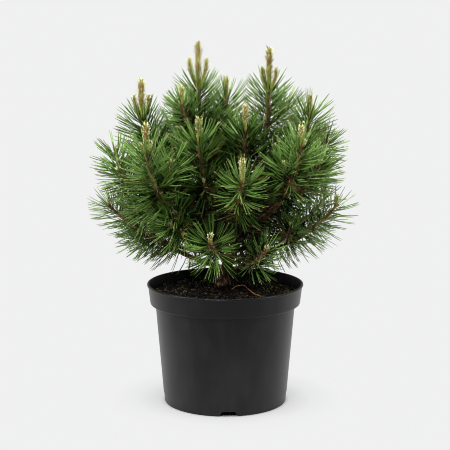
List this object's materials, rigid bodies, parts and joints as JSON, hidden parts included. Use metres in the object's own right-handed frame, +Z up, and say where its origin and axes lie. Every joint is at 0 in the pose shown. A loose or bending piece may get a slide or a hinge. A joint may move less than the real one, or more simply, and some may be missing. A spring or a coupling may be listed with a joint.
{
  "type": "potted mugo pine",
  "caption": "Young bushy mountain pine standing in a round nursery pot of soil, with a short leaning trunk, upturned boughs, rounded masses of needles and upright spring candles",
  "frame": {"origin": "Centre of the pot's flat underside, where it stands on the ground.", "axes": "+Z is up through the plant. -Y is the front, where the low star of needles faces and the soil shows over the rim. +X is to the right seen from the front."},
  "size_m": [0.3787, 0.3478, 0.517],
  "materials": {
    "pot": "matte black moulded plastic, a little scuffed",
    "soil": "moist dark peat and bark crumbs",
    "bark": "rough scaly brown bark",
    "needles": "dense fresh green needles"
  },
  "bodies": {
    "root": {"bough_back_low_1": "bark", "bough_back_low_2": "bark", "bough_back_low_3": "bark", "bough_back_low_4": "bark", "bough_back_top": "bark", "bough_back_upper_1": "bark", "bough_back_upper_2": "bark", "bough_back_upper_3": "bark", "bough_bottom_left": "bark", "bough_far_left": "bark", "bough_front_left": "bark", "bough_front_low": "bark", "bough_front_right": "bark", "bough_front_star": "bark", "bough_front_top": "bark", "bough_left_back_top": "bark", "bough_low_left": "bark", "bough_low_right": "bark", "bough_low_right_front": "bark", "bough_top_left": "bark", "bough_top_right": "bark", "bough_upper_left": "bark", "bough_upper_right": "bark", "foliage_back_bottom_1": "needles", "foliage_back_bottom_2": "needles", "foliage_back_bottom_3": "needles", "foliage_back_low_1": "needles", "foliage_back_low_2": "needles", "foliage_back_low_3": "needles", "foliage_back_low_4": "needles", "foliage_back_top": "needles", "foliage_back_upper_1": "needles", "foliage_back_upper_2": "needles", "foliage_back_upper_3": "needles", "foliage_bottom_front": "needles", "foliage_bottom_left": "needles", "foliage_centre_top": "needles", "foliage_far_left": "needles", "foliage_far_right": "needles", "foliage_front_left": "needles", "foliage_front_low": "needles", "foliage_front_right": "needles", "foliage_front_star": "needles", "foliage_front_top": "needles", "foliage_left_back_top": "needles", "foliage_low_left": "needles", "foliage_low_right": "needles", "foliage_low_right_front": "needles", "foliage_mid_left_front": "needles", "foliage_right_back": "needles", "foliage_top_left": "needles", "foliage_top_right": "needles", "foliage_upper_left": "needles", "foliage_upper_right": "needles", "pot": "pot", "soil": "soil", "trunk": "bark"}
  },
  "joints": []
}
